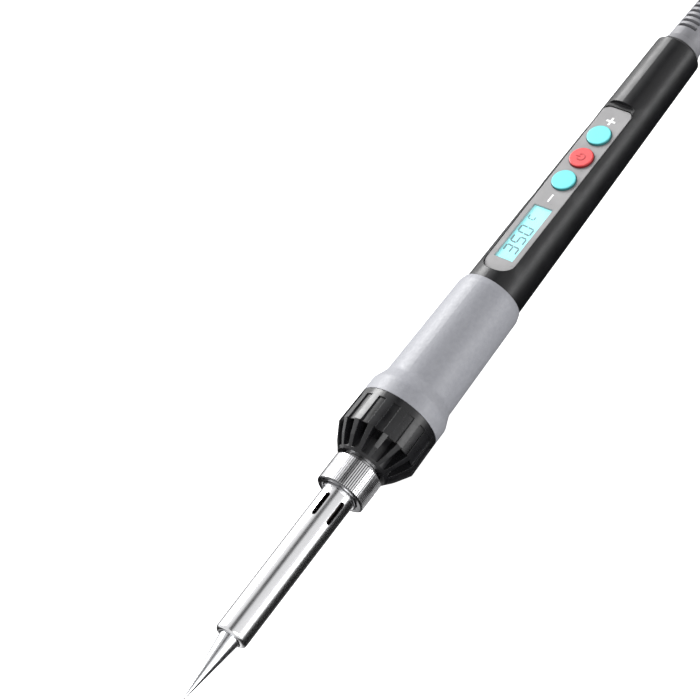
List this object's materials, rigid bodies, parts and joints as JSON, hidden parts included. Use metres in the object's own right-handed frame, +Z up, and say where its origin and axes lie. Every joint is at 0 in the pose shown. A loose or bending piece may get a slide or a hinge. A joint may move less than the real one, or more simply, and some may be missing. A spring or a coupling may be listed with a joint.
{
  "type": "soldering iron",
  "caption": "Hand-held digital soldering iron: conical tip in a vented barrel, knurled nut, finned collar, rubber grip, control panel with display and buttons, ribbed cord boot.",
  "frame": {"origin": "on the iron's axis, in the middle of the grip", "axes": "+X along the iron from the tip to the cord boot, +Z up through the control panel"},
  "size_m": [0.25, 0.022, 0.022],
  "materials": {
    "tip_plate": "bright plated, tinned at the point",
    "barrel_steel": "polished stainless tube",
    "nut_nickel": "satin nickel, fine straight knurl",
    "ferrule_steel": "turned steel",
    "heater_ceramic": "unglazed",
    "lead_sleeving": "glass-fibre sleeving",
    "collar_black": "heat-resistant plastic, semi-matt",
    "grip_rubber": "soft, finely textured",
    "handle_gloss": "glossy",
    "panel_grey": "satin",
    "display_clear": "clear window",
    "lcd": "lit display",
    "backlight": "white diffuser",
    "button_cyan": "satin",
    "button_red": "satin",
    "switch_black": "moulded",
    "board_green": "solder mask",
    "screw_steel": "zinc plated",
    "film_yellow": "resin case",
    "terminal_green": "moulded",
    "can_sleeve": "shrink sleeve",
    "clamp_white": "moulded nylon",
    "boot_grey": "satin"
  },
  "bodies": {
    "handle": {"threaded_ferrule": "ferrule_steel", "heater_element": "heater_ceramic", "heater_base": "heater_ceramic", "heater_leads": "lead_sleeving", "nose_collar": "collar_black", "retaining_bush": "collar_black", "grip_sleeve": "grip_rubber", "handle_shell": "handle_gloss", "control_panel": "panel_grey", "display_window": "display_clear", "lcd_backlight": "backlight", "lcd_glass": "lcd", "minus_switch": "switch_black", "power_switch": "switch_black", "plus_switch": "switch_black", "circuit_board": "board_green", "board_screws": "screw_steel", "microcontroller": "switch_black", "triac": "switch_black", "film_capacitor": "film_yellow", "terminal_block": "terminal_green", "smoothing_capacitor": "can_sleeve", "cord_clamp": "clamp_white", "clamp_screw": "screw_steel", "strain_relief": "boot_grey"},
    "sleeve": {"tip_barrel": "barrel_steel", "soldering_tip": "tip_plate"},
    "nut": {"barrel_nut": "nut_nickel"},
    "minus_key": {"minus_button": "button_cyan", "minus_plunger": "switch_black"},
    "power_key": {"power_button": "button_red", "power_plunger": "switch_black"},
    "plus_key": {"plus_button": "button_cyan", "plus_plunger": "switch_black"}
  },
  "joints": [
    {"name": "barrel_slide", "type": "slide", "parent": "handle", "child": "sleeve", "axis": [-1, 0, 0], "range_m": [0, 0.0045]},
    {"name": "nut_turn", "type": "hinge", "parent": "sleeve", "child": "nut", "pos_m": [-0.0426, 0, 0], "axis": [-1, 0, 0], "range_deg": [0, 1620]},
    {"name": "minus_press", "type": "slide", "parent": "handle", "child": "minus_key", "axis": [-0.0174, 0, -0.9998], "range_m": [0, 0.0004], "stiffness_N_per_m": 2500, "springref_m": -0.0002},
    {"name": "power_press", "type": "slide", "parent": "handle", "child": "power_key", "axis": [-0.0174, 0, -0.9998], "range_m": [0, 0.0004], "stiffness_N_per_m": 2500, "springref_m": -0.0002},
    {"name": "plus_press", "type": "slide", "parent": "handle", "child": "plus_key", "axis": [-0.0174, 0, -0.9998], "range_m": [0, 0.0004], "stiffness_N_per_m": 2500, "springref_m": -0.0002}
  ],
  "couplings": [
    {"joint": "nut_turn", "follows": "barrel_slide", "rad_per_m": 6283.2}
  ]
}
